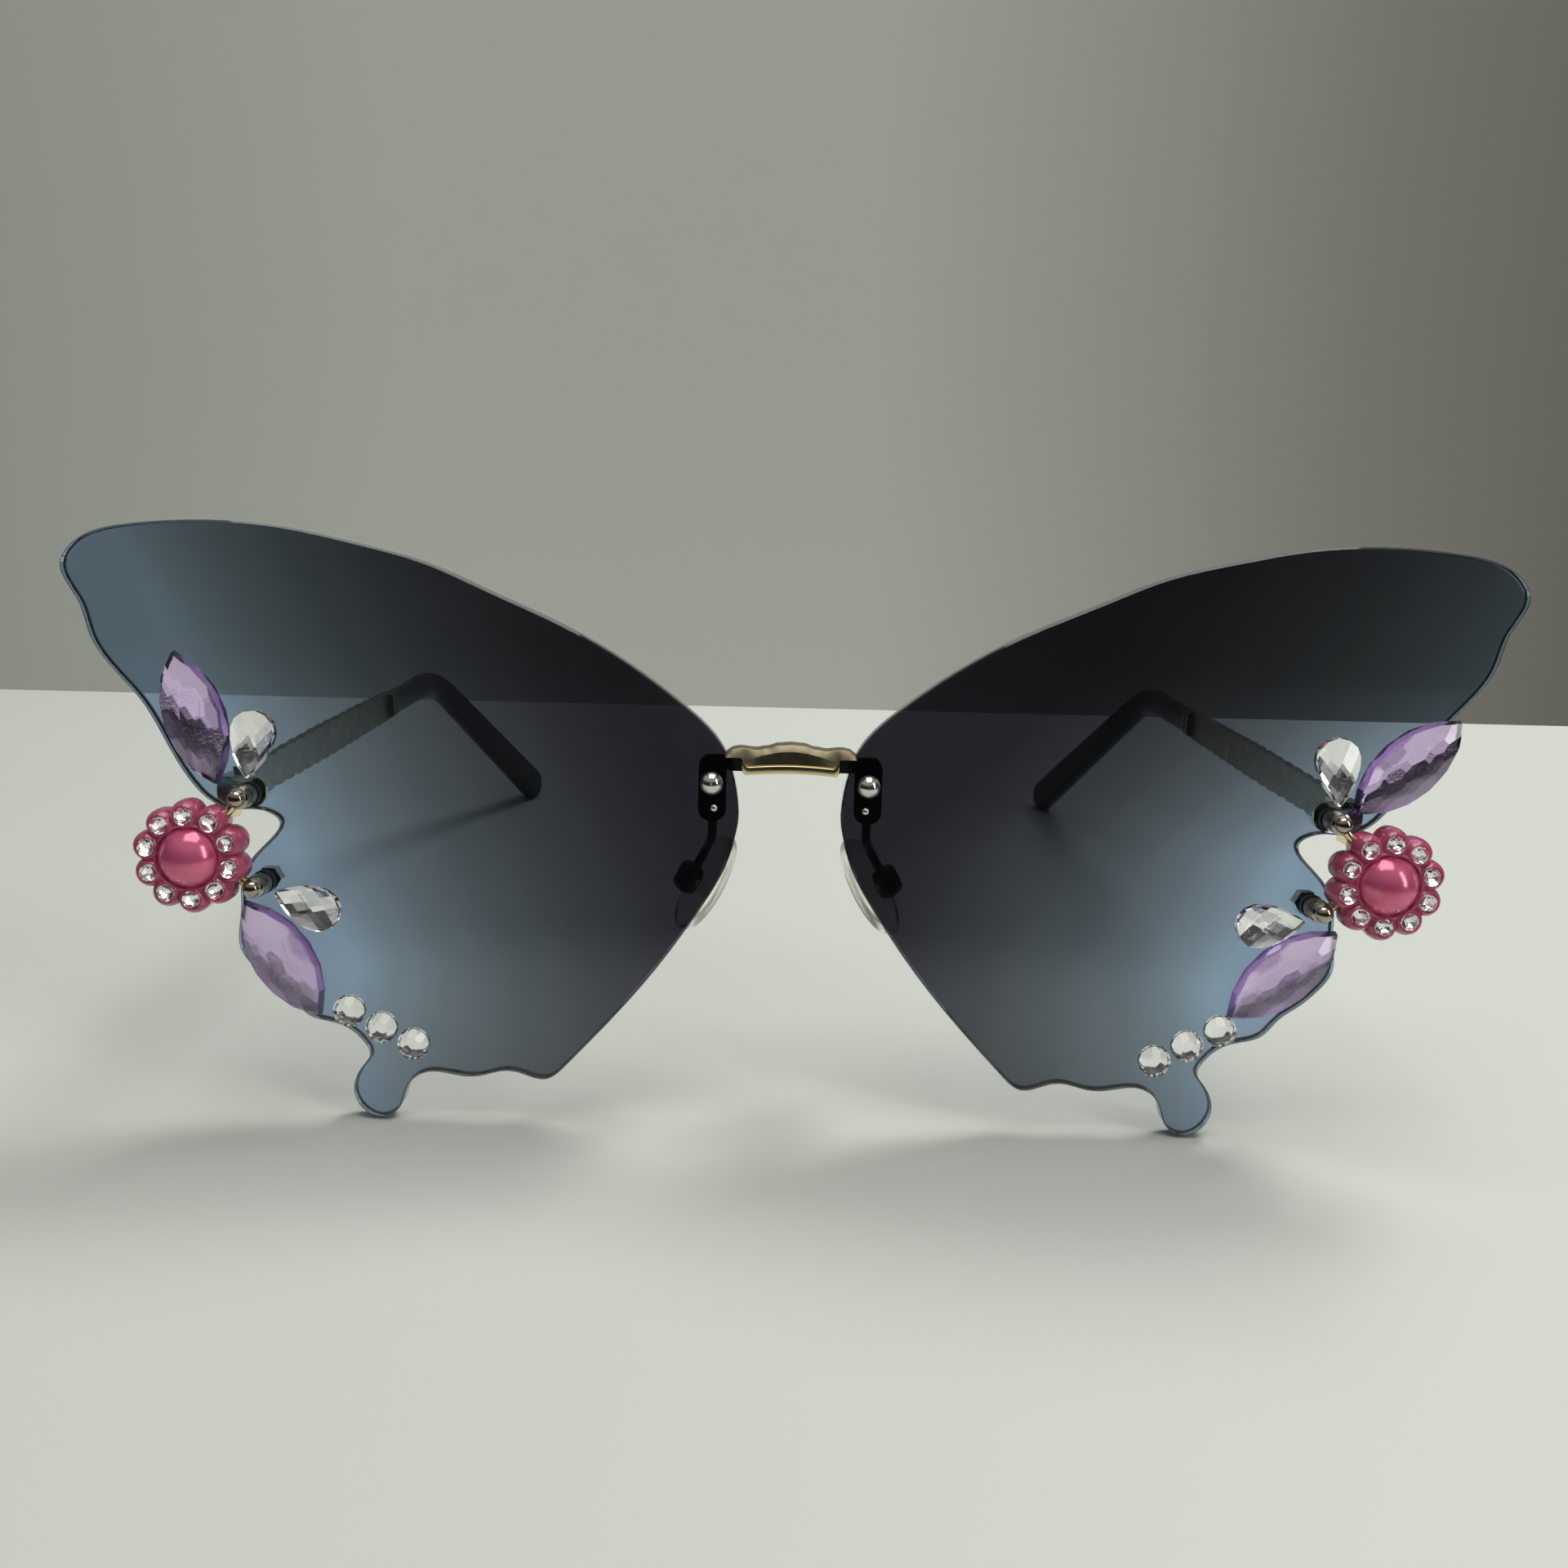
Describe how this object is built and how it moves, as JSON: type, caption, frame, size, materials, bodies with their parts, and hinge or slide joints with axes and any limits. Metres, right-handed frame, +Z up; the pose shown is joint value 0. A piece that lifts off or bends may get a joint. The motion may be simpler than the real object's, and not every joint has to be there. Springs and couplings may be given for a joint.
{
  "type": "butterfly sunglasses",
  "caption": "Rimless butterfly sunglasses with wing shaped tinted lenses, flowers on posts, glued stones, a gold bridge, rocking nose pads and folding temples.",
  "frame": {"origin": "centre of the bounding box at the table that the lens tails and temple tips stand on", "axes": "+X to the wearer's left, +Y back towards the wearer's ears, +Z up; the lenses face -Y"},
  "size_m": [0.1698, 0.1474, 0.0707],
  "materials": {
    "tinted_acrylic": "polished, tinted from charcoal at the nose to steel blue",
    "gold_metal": "pale gold plating, polished",
    "black_metal": "gloss black lacquer",
    "bright_metal": "polished",
    "dark_chrome": "dark polished plating",
    "temple_metal": "satin grey gold with bright edges",
    "black_acetate": "polished",
    "black_nylon": "matte",
    "clear_silicone": "clear, soft",
    "raspberry_resin": "cast, glossy, slightly clear",
    "raspberry_pearl": "pearl lacquer",
    "clear_stone": "faceted, foiled back",
    "lilac_stone": "faceted, foiled back"
  },
  "bodies": {
    "front": {"bridge_bar": "gold_metal", "left_lens": "tinted_acrylic", "left_bridge_bracket": "black_metal", "left_bridge_screw": "bright_metal", "left_bridge_nut": "bright_metal", "left_pad_arm": "black_metal", "left_pad_box": "black_metal", "left_pad_screw": "bright_metal", "left_end_plate": "gold_metal", "left_hinge_screw": "bright_metal", "left_post_bolts": "bright_metal", "left_post_sleeves": "dark_chrome", "left_post_washers": "black_nylon", "left_post_nuts": "bright_metal", "left_flower_pins": "gold_metal", "left_flower_base": "raspberry_resin", "left_flower_pearl": "raspberry_pearl", "left_flower_crystals": "clear_stone", "left_chatons": "clear_stone", "left_upper_navette": "lilac_stone", "left_upper_teardrop": "clear_stone", "left_lower_navette": "lilac_stone", "left_lower_teardrop": "clear_stone", "right_lens": "tinted_acrylic", "right_bridge_bracket": "black_metal", "right_bridge_screw": "bright_metal", "right_bridge_nut": "bright_metal", "right_pad_arm": "black_metal", "right_pad_box": "black_metal", "right_pad_screw": "bright_metal", "right_end_plate": "gold_metal", "right_hinge_screw": "bright_metal", "right_post_bolts": "bright_metal", "right_post_sleeves": "dark_chrome", "right_post_washers": "black_nylon", "right_post_nuts": "bright_metal", "right_flower_pins": "gold_metal", "right_flower_base": "raspberry_resin", "right_flower_pearl": "raspberry_pearl", "right_flower_crystals": "clear_stone", "right_chatons": "clear_stone", "right_upper_navette": "lilac_stone", "right_upper_teardrop": "clear_stone", "right_lower_navette": "lilac_stone", "right_lower_teardrop": "clear_stone"},
    "left_temple": {"left_temple_arm": "temple_metal", "left_ferrule": "temple_metal", "left_temple_tip": "black_acetate"},
    "right_temple": {"right_temple_arm": "temple_metal", "right_ferrule": "temple_metal", "right_temple_tip": "black_acetate"},
    "left_pad": {"left_nose_pad": "clear_silicone"},
    "right_pad": {"right_nose_pad": "clear_silicone"}
  },
  "joints": [
    {"name": "left_temple_hinge", "type": "hinge", "parent": "front", "child": "left_temple", "pos_m": [-0.0666, -0.0582, 0.03836], "axis": [0, -0.1306, -0.9914], "range_deg": [0, 72]},
    {"name": "right_temple_hinge", "type": "hinge", "parent": "front", "child": "right_temple", "pos_m": [0.0666, -0.0582, 0.03836], "axis": [0, 0.1306, 0.9914], "range_deg": [0, 84]},
    {"name": "left_pad_rock", "type": "hinge", "parent": "front", "child": "left_pad", "pos_m": [-0.012, -0.05924, 0.02819], "axis": [-0.468, 0.874, 0.1306], "range_deg": [-10, 10]},
    {"name": "right_pad_rock", "type": "hinge", "parent": "front", "child": "right_pad", "pos_m": [0.012, -0.05924, 0.02819], "axis": [0.468, 0.874, 0.1306], "range_deg": [-10, 10]}
  ]
}
